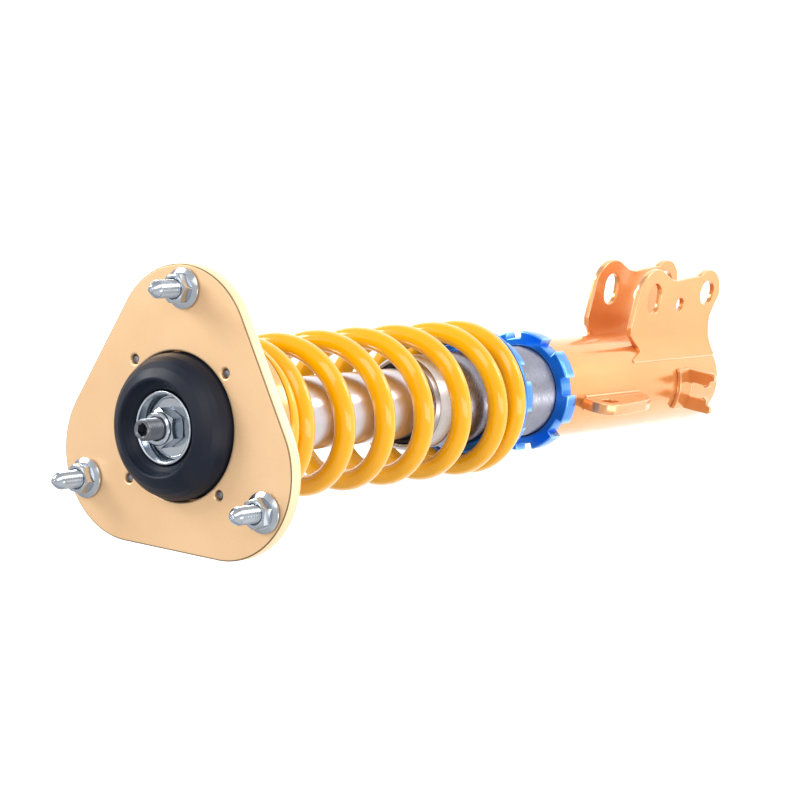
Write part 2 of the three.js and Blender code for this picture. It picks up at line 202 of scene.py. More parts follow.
def skin(rows, closed=False):
    """Faces between rows of equally many corners; closed joins the last row to the first."""
    width = len(rows[0])
    corners = [corner for row in rows for corner in row]
    faces = []
    count = len(rows)
    for k in range(count if closed else count - 1):
        a = k * width
        b = ((k + 1) % count) * width
        for j in range(width - 1):
            faces.append([a + j, a + j + 1, b + j + 1, b + j])
    return corners, faces


def capped(rows):
    """Faces between rows that each go once round, and a flat face at both ends."""
    corners, faces = skin(rows)
    width = len(rows[0])
    for first in (0, (len(rows) - 1) * width):
        faces.append([first + j for j in range(width - 1)])
    return corners, faces


def ring(radius, z, sides=96):
    """One row round the axis. The radius is a number or a rule of the angle in degrees."""
    row = []
    for j in range(sides + 1):
        degrees = 360 * j / sides
        r = radius(degrees) if callable(radius) else radius
        x, y = polar(r, degrees)
        height = z(degrees) if callable(z) else z
        row.append((x, y, height))
    return row


def turned(profile, sides=96):
    """A profile of radius and height, turned round the axis."""
    closed = profile[0][0] > 0
    return skin([ring(r, z, sides) for r, z in profile], closed)


def hexed(flats, turn=0):
    """The radius of a hexagon at an angle."""
    def radius(degrees):
        part = (degrees - turn) % 60 - 30
        return flats / 2 / math.cos(math.radians(part))
    return radius


def hex_nut(flats, low, high, bore, turn=0, crown=0.96, foot=False):
    """A hexagon whose corners are turned off to a cone, as on a real nut."""
    reach = hexed(flats, turn)
    edge = flats / 2 * crown
    slope = math.tan(math.radians(30))

    def crowned(degrees):
        return high - max(0, reach(degrees) - edge) * slope

    def footed(degrees):
        return low + max(0, reach(degrees) - edge) * slope

    rows = [ring(bore, low)]
    if foot:
        rows += [ring(edge, low), ring(reach, footed)]
    else:
        rows.append(ring(reach, low))
    rows += [ring(reach, crowned), ring(edge, high), ring(bore + 0.9, high), ring(bore, high - 0.8)]
    return skin(rows, True)


def threaded(low, high, major, minor, pitch, before, after, sides=72, closed=False):
    """A helical thread between two heights, with plain rows before and after it."""
    form = [(0.0, minor), (0.38, major), (0.52, major), (0.9, minor)]
    rows = [ring(r, z, sides) for r, z in before]
    turns = int(math.ceil((high - low) / pitch)) + 1
    for turn in range(-1, turns):
        for share, radius in form:
            row = []
            for j in range(sides + 1):
                z = low + pitch * (turn + share + j / sides)
                r = radius if low < z < high else minor
                x, y = polar(r, 360 * j / sides)
                row.append((x, y, min(max(z, low), high)))
            rows.append(row)
    rows += [ring(r, z, sides) for r, z in after]
    return skin(rows, closed)


def facing(loop, left):
    """The loop in the direction that has its inside on the left, or the other way round."""
    area = sum(a[0] * b[1] - b[0] * a[1] for a, b in zip(loop, loop[1:] + loop[:1]))
    return list(loop) if (area > 0) == left else list(loop)[::-1]


def inset(loop, amount):
    """The loop with its corners moved to the left of its direction of travel."""
    result = []
    count = len(loop)
    for i in range(count):
        here = Vector(loop[i])
        before = (here - Vector(loop[i - 1])).normalized()
        after = (Vector(loop[(i + 1) % count]) - here).normalized()
        first = Vector((-before.y, before.x))
        second = Vector((-after.y, after.x))
        mitre = (first + second) / max(0.35, 1 + first.dot(second))
        spot = here + mitre * amount
        result.append((spot.x, spot.y))
    return result


def within(loop, x, y):
    """Whether a point lies inside a loop."""
    inside = False
    for (ax, ay), (bx, by) in zip(loop, loop[1:] + loop[:1]):
        if (ay > y) != (by > y) and x < ax + (y - ay) / (by - ay) * (bx - ax):
            inside = not inside
    return inside


def filled(loops, z):
    """A flat face at one height: inside the first loop and outside the others."""
    spots = [Vector(point) for loop in loops for point in loop]
    edges = []
    for loop in loops:
        first = len(edges)
        edges += [(first + i, first + (i + 1) % len(loop)) for i in range(len(loop))]
    places, _, faces, *_ = delaunay_2d_cdt(spots, edges, [], 1, 1e-6)
    kept = []
    for face in faces:
        x = sum(places[i].x for i in face) / len(face)
        y = sum(places[i].y for i in face) / len(face)
        if within(loops[0], x, y) and not any(within(loop, x, y) for loop in loops[1:]):
            kept.append(list(face))
    return [(place.x, place.y, z) for place in places], kept


def slab(outline, low, high, edge, holes=(), steps=3):
    """A plate with rounded edges, drawn in X and Y."""
    loops = [facing(outline, True)] + [facing(hole, False) for hole in holes]
    turns = [math.pi / 2 * k / steps for k in range(steps + 1)]
    lower = [(edge * (1 - math.sin(t)), low + edge * (1 - math.cos(t))) for t in turns]
    upper = [(edge * (1 - math.sin(t)), high - edge * (1 - math.cos(t))) for t in reversed(turns)]
    levels = [(edge + FLAT_RIM, low)] + lower + upper + [(edge + FLAT_RIM, high)]
    parts = []
    for loop in loops:
        rows = []
        for amount, z in levels:
            row = [(x, y, z) for x, y in inset(loop, amount)]
            rows.append(row + row[:1])
        parts.append(skin(rows))
    for amount, z in (levels[0], levels[-1]):
        parts.append(filled([inset(loop, amount) for loop in loops], z))
    return joined(*parts)


def sideways(shape):
    """A slab drawn in Y and Z, stood up so that its thickness runs along X."""
    return mapped(shape, lambda x, y, z: (z, x, y))


def cut_across(shape, places):
    """Extra edges at the given X values, so that the shape can bend there."""
    bm = bmesh.new()
    corners = [bm.verts.new(c) for c in shape[0]]
    for face in shape[1]:
        try:
            bm.faces.new([corners[i] for i in face])
        except ValueError:
            pass
    bmesh.ops.remove_doubles(bm, verts=bm.verts, dist=1e-4)
    for place in places:
        everything = bm.verts[:] + bm.edges[:] + bm.faces[:]
        bmesh.ops.bisect_plane(bm, geom=everything, plane_co=(place, 0, 0), plane_no=(1, 0, 0))
    bm.verts.index_update()
    result = [tuple(v.co) for v in bm.verts], [[v.index for v in f.verts] for f in bm.faces]
    bm.free()
    return result


def bead(path, radius):
    """A weld bead along a path of points, with the ripples that the torch leaves."""
    ripple = 0.16
    ripple_length = 2.3
    sides = 14
    dense = []
    for a, b in zip(path, path[1:]):
        a, b = Vector(a), Vector(b)
        steps = max(1, round((b - a).length / 0.25))
        dense += [a.lerp(b, k / steps) for k in range(steps)]
    dense.append(Vector(path[-1]))
    rows = []
    travelled = 0.0
    for i, spot in enumerate(dense):
        ahead = dense[min(i + 1, len(dense) - 1)] - dense[max(i - 1, 0)]
        ahead.normalize()
        across = ahead.orthogonal().normalized()
        over = ahead.cross(across)
        if i:
            travelled += (spot - dense[i - 1]).length
        wave = abs(math.sin(math.pi * travelled / ripple_length))
        wander = noise.noise(spot * 0.4)
        size = radius * (1 - ripple + ripple * wave + 0.12 * wander)
        if i in (0, len(dense) - 1):
            size *= 0.45
        row = []
        for j in range(sides + 1):
            turn = 2 * math.pi * j / sides
            row.append(tuple(spot + (across * math.cos(turn) + over * math.sin(turn)) * size))
        rows.append(row)
    return capped(rows)


# ---- materials ----
def material(name, colour, second, metallic, roughness, coat=0.0, blotch=30, share=0.5):
    """A shader whose colour drifts between two close tones. Returns it with its tree and coordinates."""
    made = bpy.data.materials.new(name)
    made.use_nodes = True
    tree = made.node_tree
    shader = tree.nodes["Principled BSDF"]
    shader.inputs["Metallic"].default_value = metallic
    shader.inputs["Roughness"].default_value = roughness
    shader.inputs["Coat Weight"].default_value = coat
    shader.inputs["Coat Roughness"].default_value = 0.06
    place = tree.nodes.new("ShaderNodeTexCoord").outputs["Object"]
    drift = tree.nodes.new("ShaderNodeTexNoise")
    drift.inputs["Scale"].default_value = blotch
    drift.inputs["Detail"].default_value = 4
    tree.links.new(place, drift.inputs["Vector"])
    ramp = tree.nodes.new("ShaderNodeValToRGB")
    ramp.color_ramp.elements[0].position = 0.5 - share / 2
    ramp.color_ramp.elements[0].color = (*colour, 1)
    ramp.color_ramp.elements[1].position = 0.5 + share / 2
    ramp.color_ramp.elements[1].color = (*second, 1)
    tree.links.new(drift.outputs["Fac"], ramp.inputs["Fac"])
    tree.links.new(ramp.outputs["Color"], shader.inputs["Base Color"])
    return made, tree, shader, place


def stretched(tree, place, scale):
    """The coordinates stretched by different amounts along X, Y and Z."""
    node = tree.nodes.new("ShaderNodeMapping")
    node.inputs["Scale"].default_value = scale
    tree.links.new(place, node.inputs["Vector"])
    return node.outputs["Vector"]


def grain(tree, place, scale, detail=3.0, scale3=None):
    """Fine noise, stretched along one direction where a scale for each axis is given."""
    node = tree.nodes.new("ShaderNodeTexNoise")
    node.inputs["Scale"].default_value = scale
    node.inputs["Detail"].default_value = detail
    vector = stretched(tree, place, scale3) if scale3 else place
    tree.links.new(vector, node.inputs["Vector"])
    return node.outputs["Fac"]


def bumped(tree, shader, height, strength, depth):
    """Adds a bump, on top of any that is there."""
    node = tree.nodes.new("ShaderNodeBump")
    node.inputs["Strength"].default_value = strength
    node.inputs["Distance"].default_value = depth * MM
    tree.links.new(height, node.inputs["Height"])
    if shader.inputs["Normal"].is_linked:
        tree.links.new(shader.inputs["Normal"].links[0].from_socket, node.inputs["Normal"])
    tree.links.new(node.outputs["Normal"], shader.inputs["Normal"])


def ranged(tree, value, low, high, socket, edges=(0.3, 0.7)):
    """Drives a socket between two values."""
    node = tree.nodes.new("ShaderNodeMapRange")
    node.inputs["From Min"].default_value = edges[0]
    node.inputs["From Max"].default_value = edges[1]
    node.inputs["To Min"].default_value = low
    node.inputs["To Max"].default_value = high
    tree.links.new(value, node.inputs["Value"])
    tree.links.new(node.outputs["Result"], socket)


def tinted(tree, shader, factor, colour, edges=(0.0, 1.0), most=1.0):
    """Mixes another colour over the base colour where the factor is high."""
    span = tree.nodes.new("ShaderNodeMapRange")
    span.inputs["From Min"].default_value = edges[0]
    span.inputs["From Max"].default_value = edges[1]
    span.inputs["To Max"].default_value = most
    tree.links.new(factor, span.inputs["Value"])
    mix = tree.nodes.new("ShaderNodeMix")
    mix.data_type = "RGBA"
    mix.inputs["B"].default_value = (*colour, 1)
    under = shader.inputs["Base Color"].links[0].from_socket
    tree.links.new(span.outputs["Result"], mix.inputs["Factor"])
    tree.links.new(under, mix.inputs["A"])
    tree.links.new(mix.outputs["Result"], shader.inputs["Base Color"])


def edge_highlight_mask(tree):
    """High on outer edges; used to paint pale highlights along them."""
    return tree.nodes.new("ShaderNodeNewGeometry").outputs["Pointiness"]


looks = {}


def look(name, *args, **kwargs):
    """A material that is kept under its slot's name."""
    made, tree, shader, place = material(name, *args, **kwargs)
    looks[name] = made
    return tree, shader, place


def anodised(name, colour, second, roughness, edge_highlight):
    """A blasted and dyed surface, with a pale highlight painted along its edges."""
    tree, shader, place = look(name, colour, second, 0.72, roughness, blotch=22)
    fine = grain(tree, place, 2600, 2)
    ranged(tree, fine, roughness - 0.07, roughness + 0.1, shader.inputs["Roughness"])
    bumped(tree, shader, fine, 0.28, 0.05)
    speckle = grain(tree, place, 1500, 3)
    tinted(tree, shader, speckle, tuple(c * 0.72 for c in second), (0.56, 0.78), 0.5)
    tinted(tree, shader, edge_highlight_mask(tree), edge_highlight, (0.515, 0.56), 0.8)
    return tree, shader


def switched(tree, operation, socket, *numbers):
    """A yes or no from comparing a value with a number, with how far off it may be."""
    node = tree.nodes.new("ShaderNodeMath")
    node.operation = operation
    for i, number in enumerate(numbers):
        node.inputs[i + 1].default_value = number
    tree.links.new(socket, node.inputs[0])
    return node.outputs["Value"]


def painted_corner_reflection(tree, shader):
    """A painted dark reflection: a thin dark line round the plate's outer corner, where the upper face
    meets the side.
    """
    axes = tree.nodes.new("ShaderNodeSeparateXYZ")
    tree.links.new(tree.nodes["Texture Coordinate"].outputs["Object"], axes.inputs["Vector"])
    level = tree.nodes.new("ShaderNodeCombineXYZ")
    tree.links.new(axes.outputs["X"], level.inputs["X"])
    tree.links.new(axes.outputs["Y"], level.inputs["Y"])
    reach = tree.nodes.new("ShaderNodeVectorMath")
    reach.operation = "LENGTH"
    tree.links.new(level.outputs["Vector"], reach.inputs[0])
    outside = switched(tree, "GREATER_THAN", reach.outputs["Value"], 60 * MM)
    near_face = switched(tree, "COMPARE", axes.outputs["Z"], -0.3 * MM, 0.25 * MM)
    both = tree.nodes.new("ShaderNodeMath")
    both.operation = "MULTIPLY"
    tree.links.new(outside, both.inputs[0])
    tree.links.new(near_face, both.inputs[1])
    tinted(tree, shader, both.outputs["Value"], (0.20, 0.115, 0.04), (0.0, 1.0), 0.9)


# Top plate: satin gold, with painted highlights on its edges and a painted dark reflection round its
# outer corner.
tree, shader = anodised("satin_gold", (0.89, 0.61, 0.355), (0.83, 0.545, 0.30), 0.46, (0.97, 0.86, 0.64))
painted_corner_reflection(tree, shader)

# Lower tube, ears, brackets, upper seat and housing: glossy gold, with cream highlights painted on their
# edges.
tree, shader, place = look("gloss_gold", (0.82, 0.37, 0.125), (0.76, 0.32, 0.10), 0.66, 0.2, 0.5, 26)
peel = grain(tree, place, 420, 2)
bumped(tree, shader, peel, 0.1, 0.05)
ranged(tree, grain(tree, place, 90, 4), 0.15, 0.27, shader.inputs["Roughness"])
tinted(tree, shader, edge_highlight_mask(tree), (1.0, 0.85, 0.62), (0.52, 0.58), 0.7)

# Spring: powder coat under a clear coat.
tree, shader, place = look("spring_yellow", (0.88, 0.435, 0.0), (0.83, 0.385, 0.0), 0.0, 0.18, 0.6, 24)
shader.inputs["Specular IOR Level"].default_value = 0.3
shader.inputs["Coat Roughness"].default_value = 0.04
bumped(tree, shader, grain(tree, place, 520, 2), 0.14, 0.05)
ranged(tree, grain(tree, place, 120, 4), 0.14, 0.26, shader.inputs["Roughness"])
tinted(tree, shader, grain(tree, place, 900, 2), (0.75, 0.30, 0.003), (0.66, 0.8), 0.5)

# Perch and lock rings: blue, with turning marks and light-blue highlights painted on their edges.
tree, shader, place = look("anodised_blue", (0.0, 0.19, 0.78), (0.0, 0.14, 0.66), 0.66, 0.2, 0.35, 40)
turning = grain(tree, place, 60, 2, (1, 1, 60))
bumped(tree, shader, turning, 0.12, 0.03)
ranged(tree, turning, 0.15, 0.3, shader.inputs["Roughness"])
tinted(tree, shader, edge_highlight_mask(tree), (0.30, 0.62, 1.0), (0.515, 0.57), 0.9)

# Studs, nuts, cup and washer: bright zinc plate.
tree, shader, place = look("zinc", (0.58, 0.62, 0.67), (0.50, 0.55, 0.61), 1.0, 0.16, 0, 120)
bumped(tree, shader, grain(tree, place, 500, 2), 0.06, 0.03)
ranged(tree, grain(tree, place, 200, 3), 0.12, 0.22, shader.inputs["Roughness"])
tinted(tree, shader, grain(tree, place, 130, 2), (0.66, 0.62, 0.54), (0.58, 0.8), 0.3)

# Damper tube: polished, with marks along its length.
tree, shader, place = look("chrome", (0.55, 0.51, 0.53), (0.50, 0.46, 0.49), 1.0, 0.18, 0, 60)
drawn = grain(tree, place, 130, 3, (1, 1, 22))
bumped(tree, shader, drawn, 0.05, 0.02)
ranged(tree, drawn, 0.15, 0.23, shader.inputs["Roughness"])

# Screws, races and the rod: turned steel.
tree, shader, place = look("steel", (0.24, 0.25, 0.28), (0.18, 0.19, 0.21), 1.0, 0.34, 0, 90)
lathe = grain(tree, place, 200, 3, (1, 1, 14))
bumped(tree, shader, lathe, 0.12, 0.03)
ranged(tree, lathe, 0.26, 0.44, shader.inputs["Roughness"])

# Threaded housing: grey, with bright highlights painted on its crests.
tree, shader, place = look("thread_grey", (0.34, 0.34, 0.39), (0.26, 0.26, 0.31), 1.0, 0.34, 0, 70)
scratch = grain(tree, place, 300, 3, (1, 1, 9))
bumped(tree, shader, scratch, 0.2, 0.03)
ranged(tree, scratch, 0.22, 0.42, shader.inputs["Roughness"])
tinted(tree, shader, edge_highlight_mask(tree), (0.72, 0.73, 0.80), (0.52, 0.6), 0.7)

# Domed mount: dull black rubber.
tree, shader, place = look("rubber", (0.007, 0.012, 0.024), (0.005, 0.009, 0.019), 0.0, 0.5, 0, 35)
shader.inputs["Specular IOR Level"].default_value = 0.2
bumped(tree, shader, grain(tree, place, 1900, 3), 0.22, 0.04)
ranged(tree, grain(tree, place, 60, 4), 0.36, 0.5, shader.inputs["Roughness"])
tinted(tree, shader, grain(tree, place, 16, 3), (0.035, 0.032, 0.042), (0.5, 0.75), 0.6)

# Seals, isolator and thrust washer: black plastic.
tree, shader, place = look("seal_black", (0.012, 0.012, 0.014), (0.008, 0.008, 0.009), 0.0, 0.6, 0, 80)
bumped(tree, shader, grain(tree, place, 1500, 3), 0.25, 0.04)
ranged(tree, grain(tree, place, 200, 3), 0.5, 0.7, shader.inputs["Roughness"])

# Bump stop: yellowish foam.
tree, shader, place = look("urethane", (0.62, 0.50, 0.13), (0.52, 0.40, 0.09), 0.0, 0.8, 0, 70)
bumped(tree, shader, grain(tree, place, 900, 4), 0.5, 0.2)
ranged(tree, grain(tree, place, 300, 3), 0.7, 0.9, shader.inputs["Roughness"])

# Guide bushes: bronze.
tree, shader, place = look("bronze", (0.48, 0.27, 0.09), (0.38, 0.20, 0.06), 1.0, 0.35, 0, 70)
bumped(tree, shader, grain(tree, place, 250, 3, (1, 1, 12)), 0.15, 0.03)
ranged(tree, grain(tree, place, 150, 3), 0.28, 0.45, shader.inputs["Roughness"])

# Gland cap and inner parts: turned alloy.
tree, shader, place = look("alloy", (0.50, 0.47, 0.45), (0.42, 0.39, 0.38), 1.0, 0.33, 0, 60)
turned_marks = grain(tree, place, 160, 3, (1, 1, 18))
bumped(tree, shader, turned_marks, 0.12, 0.03)
ranged(tree, turned_marks, 0.2, 0.36, shader.inputs["Roughness"])


# ---- pieces ----
def piece(name, shape, body, slot_name, replaces=(), sharp=SHARP):
    """A named object made from a shape, riding on a body and standing in for CAD nodes."""
    corners, faces = shape
    mesh = bpy.data.meshes.new(name)
    mesh.from_pydata([(x * MM, y * MM, z * MM) for x, y, z in corners], [], faces)
    bm = bmesh.new()
    bm.from_mesh(mesh)
    bmesh.ops.remove_doubles(bm, verts=bm.verts, dist=2e-6)
    bmesh.ops.dissolve_degenerate(bm, edges=bm.edges, dist=5e-7)
    bmesh.ops.recalc_face_normals(bm, faces=bm.faces)
    bm.to_mesh(mesh)
    bm.free()
    mesh.polygons.foreach_set("use_smooth", [True] * len(mesh.polygons))
    mesh.set_sharp_from_angle(angle=sharp)
    for face in mesh.polygons:
        if len(face.vertices) == 3:
            face.use_smooth = False
    made = bpy.data.objects.new(name, mesh)
    bpy.context.scene.collection.objects.link(made)
    mesh.materials.append(looks[slot_name])
    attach(made, body)
    if replaces:
        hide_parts(*replaces)
    return made


# Top plate: three wide corners, each round its stud.
outline = []
studs = []
for k in range(3):
    heading = PLATE_TURN + 120 * k
    dx, dy = polar(CORNER_OUT, heading)
    outline += arc(STUD_CENTRE[0] + dx, STUD_CENTRE[1] + dy, CORNER_R, heading - 60, heading + 60, 40)
    dx, dy = polar(STUD_CIRCLE_R, heading)
    studs.append((STUD_CENTRE[0] + dx, STUD_CENTRE[1] + dy))
screws = [polar(SCREW_CIRCLE_R, PLATE_TURN + degrees) for degrees in (45, 135, 225, 315)]
holes = [circle(0, 0, CENTRE_HOLE_R, 128)]
holes += [circle(x, y, SCREW_HOLE_R, 24) for x, y in screws]
holes += [circle(x, y, STUD_R + 0.5, 24) for x, y in studs]
piece("plate_satin", slab(outline, -PLATE_T, 0, 1.0, holes), "top_mount", "satin_gold", ["top_plate"])

# Studs with a cut thread, a cone and a small nib, and their flange nuts.
stud_top = -PLATE_T - GAP
stud_low = stud_top - STUD_HEAD_T
stud = threaded(
    1.5, STUD_TIP - 5, STUD_R, STUD_ROOT_R, COARSE_PITCH,
    before=[
        (0, stud_low), (STUD_HEAD_R - 0.4, stud_low), (STUD_HEAD_R, stud_low + 0.4),
        (STUD_HEAD_R, stud_top), (STUD_R, stud_top), (STUD_R, 1.2), (STUD_ROOT_R, 1.5),
    ],
    after=[
        (4.1, STUD_TIP - 4.8), (4.1, STUD_TIP - 4.4), (4.6, STUD_TIP - 4.2), (2.3, STUD_TIP - 1.1),
        (1.75, STUD_TIP - 0.9), (1.7, STUD_TIP - 0.3), (1.45, STUD_TIP), (0.8, STUD_TIP),
        (0.65, STUD_TIP - 0.5), (0, STUD_TIP - 0.6),
    ],
)
flange = turned(rounded([
    (NUT_BORE_R, GAP), (NUT_FLANGE_R, GAP), (NUT_FLANGE_R, GAP + 1.2), (8.6, GAP + 2.6),
    (NUT_BORE_R, GAP + 2.6),
], 0.45))
for letter, turn, (x, y) in zip("abc", NUT_TURNS, studs):
    nut = joined(flange, hex_nut(NUT_FLATS, GAP + 1.2, NUT_TOP, NUT_BORE_R, turn, 0.95))
    piece(f"stud_thread_{letter}", moved(stud, x, y), "top_mount", "zinc", [f"stud_{letter}"])
    piece(f"flange_nut_{letter}", moved(nut, x, y), "top_mount", "zinc", [f"stud_nut_{letter}"])

# Domed mount with its funnel, cup, washer, nut and the threaded end of the rod.
dome = [
    (12.4, -19.3), (38.3, -19.3), (38.3, -8), (39.7, -7), (39.9, -1), (39.6, 3), (38.1, 7), (35.6, 10.6),
    (32.2, 13.6), (28.6, 15.5), (27.0, 16.2), (25.9, 15.9), (25.0, 14.2), (23.4, 12.0), (20.4, 9.4),
    (20.4, -1.9), (12.4, -1.9),
]
dome_shape = turned(rounded(dome, 2.2, steps=5), 128)
piece("dome_rubber", dome_shape, "top_mount", "rubber", ["mount_dome"], math.radians(50))
clear_r = ROD_R + 0.5
cup = [
    (clear_r, HOUSING_LOW), (12, HOUSING_LOW), (12, -1.5), (CUP_R, -1.5), (CUP_R, CUP_RIM),
    (CUP_R - 1.8, CUP_RIM), (CUP_R - 2.4, 1), (clear_r, 1),
]
piece("cup_zinc", turned(rounded(cup, 0.85)), "top_mount", "zinc", ["centre_cup"])
washer = [(clear_r, 1 + GAP), (16, 1 + GAP), (16, 4.2), (clear_r, 4.2)]
piece("washer_zinc", turned(rounded(washer, 0.8)), "top_mount", "zinc", ["cup_washer"])
collar = [(6.2, 12.6), (9.3, 12.6), (9.3, 15.2), (8.3, 16.2), (6.6, 16.2), (6.2, 15.4)]
rod_nut = hex_nut(ROD_NUT_FLATS, 4.2 + GAP, 13.8, 6.2, ROD_NUT_TURN, 0.95, True)
piece("nut_zinc", joined(rod_nut, turned(rounded(collar, 0.6))), "top_mount", "zinc", ["rod_nut"])
socket = hexed(6.4)
rod_top = threaded(
    4.0, ROD_TIP - 0.8, ROD_R, ROD_ROOT_R, COARSE_PITCH,
    before=[
        (0, TUBE_TOP + GAP), (ROD_SHOULDER_R, TUBE_TOP + GAP), (ROD_SHOULDER_R, HOUSING_LOW - GAP),
        (ROD_R, HOUSING_LOW - GAP), (ROD_R, 3.4), (ROD_ROOT_R, 4.0),
    ],
    after=[(ROD_ROOT_R, ROD_TIP - 0.6), (ROD_R - 1, ROD_TIP), (4.2, ROD_TIP)],
)
hollow = skin([
    ring(4.2, ROD_TIP, 72), ring(socket, ROD_TIP - 0.8, 72), ring(socket, 19.2, 72), ring(0.01, 18.4, 72),
])
piece("rod_thread", joined(rod_top, hollow), "top_mount", "steel", ["rod_stem"])

# Housing below the plate, its screws, the bearing and the spring's upper seat.
housing = [
    (13, HOUSING_LOW), (41.2, HOUSING_LOW), (41.2, HOUSING_FLANGE_LOW), (52, HOUSING_FLANGE_LOW),
    (52, -PLATE_T - GAP), (38.8, -PLATE_T - GAP), (38.8, -19.6), (13, -19.6),
]
piece("mount_body", turned(rounded(housing, 0.7)), "top_mount", "gloss_gold", ["mount_housing"])
seated = HOUSING_FLANGE_LOW - GAP
head = seated - 4
cap_screw = turned([
    (0, head + 2.2), (1.9, head + 2.2), (2.0, head), (3.8, head), (4.2, head + 0.4), (4.2, seated),
    (2.4, seated), (2.4, -2.2), (1.7, -1.4), (0, -1.1),
], 48)
for k, (x, y) in enumerate(screws):
    piece(f"cap_screw_{k + 1}", moved(cap_screw, x, y), "top_mount", "steel", [f"housing_screw_{k + 1}"])
race = [(24, -25.4), (38, -25.4), (38, HOUSING_LOW - GAP), (24, HOUSING_LOW - GAP)]
piece("race_upper", turned(rounded(race, 0.5)), "top_mount", "steel", ["bearing_upper_race"])
race = [(24, -31.3), (38, -31.3), (38, -28.5), (24, -28.5)]
piece("race_lower", turned(rounded(race, 0.5)), "upper_seat", "steel", ["bearing_lower_race"])
seat = [
    (23.5, -52), (33, -52), (HUB_R, -50), (HUB_R, SEAT_LOW), (SEAT_R, SEAT_LOW), (SEAT_R, -33),
    (SEAT_R - 1.4, -31.6), (40.5, -31.6), (40, -32.3), (23.5, -32.3),
]
piece("seat_gloss", turned(rounded(seat, 0.6)), "upper_seat", "gloss_gold", ["upper_seat"])
isolator = [
    (HUB_R + 0.4, SPRING_TOP + GAP), (SEAT_R - 2, SPRING_TOP + GAP), (SEAT_R - 2, SEAT_LOW - GAP),
    (HUB_R + 0.4, SEAT_LOW - GAP),
]
piece("isolator_seal", turned(rounded(isolator, 0.6)), "upper_seat", "seal_black", ["spring_isolator"])


# Coil spring: round wire, a closed coil at each end, the ends ground flat.
def smoothstep(value, low, high):
    """Zero below the low value, one above the high value and a smooth rise between them."""
    t = min(max((value - low) / (high - low), 0), 1)
    return t * t * (3 - 2 * t)


def pitch_at(turn):
    """How far the wire goes down in a turn, at a number of turns from its top end."""
    from_top = smoothstep(turn, 1.24, 1.54)
    from_low = smoothstep(COIL_TURNS - turn, 0.85, 1.15)
    return CLOSED_PITCH + (OPEN_PITCH - CLOSED_PITCH) * min(from_top, from_low)


def coil():
    """The wire as rows of corners round it, cut flat where it passes the ground ends."""
    per_turn = 64
    sides = 28
    count = round(COIL_TURNS * per_turn)
    step = COIL_TURNS / count
    z = COIL_START
    rows = []
    for i in range(count + 1):
        turn = i * step
        if i:
            z -= pitch_at(turn - step / 2) * step
        degrees = COIL_START_TURN - 360 * turn
        out = Vector((*polar(1, degrees), 0))
        run = 2 * math.pi * SPRING_MEAN_R
        ahead = Vector((out.y, -out.x, -pitch_at(turn) / run)).normalized()
        up = out.cross(ahead).normalized()
        centre = out * SPRING_MEAN_R + Vector((0, 0, z))
        taper = 1 - 0.08 * max(0, 1 - min(i, count - i) / 2)
        row = []
        for j in range(sides + 1):
            angle = 2 * math.pi * j / sides
            spot = centre + (out * math.cos(angle) + up * math.sin(angle)) * WIRE_R * taper
            row.append((spot.x, spot.y, min(max(spot.z, SPRING_LOW), SPRING_TOP)))
        rows.append(row)
    return capped(rows)


spring = piece("spring_wire", coil(), "upper_seat", "spring_yellow", ["spring"], math.radians(40))
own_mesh(spring)


# Blue perch and lock rings, with slots for a hook spanner.
def castle(first_slot):
    """The outline of a slotted ring."""
    points = []
    lobe = 360 / SLOTS - SLOT_WIDE
    for k in range(SLOTS):
        centre = first_slot + 360 / SLOTS * k
        edge = SLOT_WIDE / 2
        points += arc(0, 0, SLOT_FLOOR_R, centre - edge, centre + edge, 6)
        points += arc(0, 0, RING_R, centre + edge, centre + edge + lobe, 12)
    return points


def slotted(low, high, first_slot, edge):
    """A slotted ring with its bore."""
    return slab(castle(first_slot), low, high, edge, [circle(0, 0, RING_BORE_R, 96)])


flange_and_hub = [
    (RING_BORE_R, PERCH_STEP - 0.2), (FLANGE_R, PERCH_STEP - 0.2), (FLANGE_R, PERCH_TOP),
    (HUB_R, PERCH_TOP), (HUB_R, HUB_TOP - 2), (HUB_R - 2, HUB_TOP), (RING_BORE_R, HUB_TOP),
]
perch = joined(slotted(PERCH_LOW, PERCH_STEP, -34, 0.7), turned(rounded(flange_and_hub, 0.6)))
piece("perch_blue", perch, "perch", "anodised_blue", ["spring_perch"])
perch_ring = slotted(PERCH_RING_LOW, PERCH_LOW - GAP, -56.5, 0.8)
piece("perch_ring_blue", perch_ring, "perch_ring", "anodised_blue", ["perch_lock_ring"])
lower_ring = slotted(LOWER_RING_LOW, LOWER_RING_TOP, -73.5, 1.0)
piece("lower_ring_blue", lower_ring, "lower_ring", "anodised_blue", ["lower_lock_ring"])
slip = [
    (HUB_R + 0.4, PERCH_TOP + GAP), (40.6, PERCH_TOP + GAP), (40.6, SPRING_LOW - GAP),
    (HUB_R + 0.4, SPRING_LOW - GAP),
]
piece("slip_washer", turned(rounded(slip, 0.4)), "perch_washer", "seal_black", ["thrust_washer"])

# Damper tube, gland cap, wiper and the threaded housing.
tube = [(TUBE_BORE_R, TUBE_LOW), (TUBE_R, TUBE_LOW), (TUBE_R, TUBE_TOP), (TUBE_BORE_R, TUBE_TOP)]
piece("polished_tube", turned(rounded(tube, 0.5), 128), "top_mount", "chrome", ["damper_tube"])
gland = [
    (BODY_BORE_R, GLAND_LOW), (BODY_R, GLAND_LOW), (BODY_R, BODY_TOP - 2.4), (BODY_R - 1.9, BODY_TOP),
    (BODY_BORE_R, BODY_TOP),
]
piece("gland_alloy", turned(rounded(gland, 0.9, steps=6), 128), "strut_body", "alloy", ["gland_cap"])
lip_r = TUBE_R + 0.1
wiper = [
    (lip_r, BODY_TOP - 6), (24, BODY_TOP - 6), (24, BODY_TOP - 0.9), (23, BODY_TOP - 0.4),
    (22, BODY_TOP - 0.4), (lip_r, BODY_TOP - 1.8),
]
piece("wiper_lip", turned(rounded(wiper, 0.3), 96), "strut_body", "seal_black", ["wiper_seal"])
body_end = GLAND_LOW - GAP
